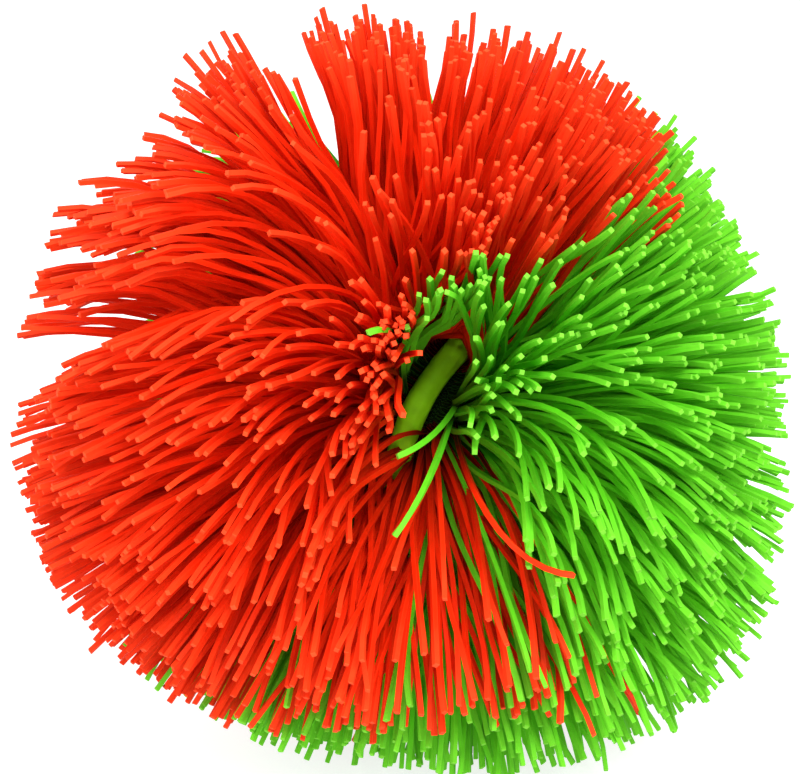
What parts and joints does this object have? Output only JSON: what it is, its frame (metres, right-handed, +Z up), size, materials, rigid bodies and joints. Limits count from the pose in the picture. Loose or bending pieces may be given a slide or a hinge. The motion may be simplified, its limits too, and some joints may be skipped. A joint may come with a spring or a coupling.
{
  "type": "rubber strand ball",
  "caption": "Soft ball of red and green rubber strands tied round the middle by a rubber band, so that their free ends stand out on all sides.",
  "frame": {"origin": "middle of the ball's box, at the height of the surface that the ball stands on", "axes": "+Z up; +Y from the viewer to the back, so that the parting with the band faces -Y; +X to the viewer's right, on the green side"},
  "size_m": [0.0784, 0.0782, 0.0765],
  "materials": {
    "red_rubber": "satin natural rubber, orange-red, paler on the cut ends",
    "green_rubber": "satin natural rubber, leaf green, paler on the cut ends",
    "band_rubber": "smooth satin natural rubber, olive green"
  },
  "bodies": {
    "root": {"binding_band": "band_rubber", "green_tuft_a1_10": "green_rubber", "green_tuft_a1_5": "green_rubber", "green_tuft_a1_6": "green_rubber", "green_tuft_a1_7": "green_rubber", "green_tuft_a1_8": "green_rubber", "green_tuft_a1_9": "green_rubber", "green_tuft_a2_4": "green_rubber", "green_tuft_a2_5": "green_rubber", "green_tuft_a2_6": "green_rubber", "green_tuft_a2_7": "green_rubber", "green_tuft_a3_3": "green_rubber", "green_tuft_a3_4": "green_rubber", "green_tuft_b1_1": "green_rubber", "green_tuft_b1_2": "green_rubber", "green_tuft_b1_3": "green_rubber", "green_tuft_b1_4": "green_rubber", "green_tuft_b1_5": "green_rubber", "green_tuft_b2_1": "green_rubber", "green_tuft_b2_2": "green_rubber", "green_tuft_b2_3": "green_rubber", "green_tuft_b2_4": "green_rubber", "green_tuft_b3_1": "green_rubber", "green_tuft_b3_2": "green_rubber", "green_tuft_b3_3": "green_rubber", "green_tuft_b3_4": "green_rubber", "green_tuft_b3_5": "green_rubber", "green_tuft_b4_1": "green_rubber", "red_tuft_a1_1": "red_rubber", "red_tuft_a1_11": "red_rubber", "red_tuft_a1_12": "red_rubber", "red_tuft_a1_13": "red_rubber", "red_tuft_a1_2": "red_rubber", "red_tuft_a1_3": "red_rubber", "red_tuft_a1_4": "red_rubber", "red_tuft_a2_1": "red_rubber", "red_tuft_a2_2": "red_rubber", "red_tuft_a2_3": "red_rubber", "red_tuft_a2_8": "red_rubber", "red_tuft_a2_9": "red_rubber", "red_tuft_a3_1": "red_rubber", "red_tuft_a3_2": "red_rubber", "red_tuft_a3_5": "red_rubber", "red_tuft_a4_1": "red_rubber", "red_tuft_b1_10": "red_rubber", "red_tuft_b1_11": "red_rubber", "red_tuft_b1_12": "red_rubber", "red_tuft_b1_13": "red_rubber", "red_tuft_b1_6": "red_rubber", "red_tuft_b1_7": "red_rubber", "red_tuft_b1_8": "red_rubber", "red_tuft_b1_9": "red_rubber", "red_tuft_b2_5": "red_rubber", "red_tuft_b2_6": "red_rubber", "red_tuft_b2_7": "red_rubber", "red_tuft_b2_8": "red_rubber", "red_tuft_b2_9": "red_rubber"}
  },
  "joints": []
}
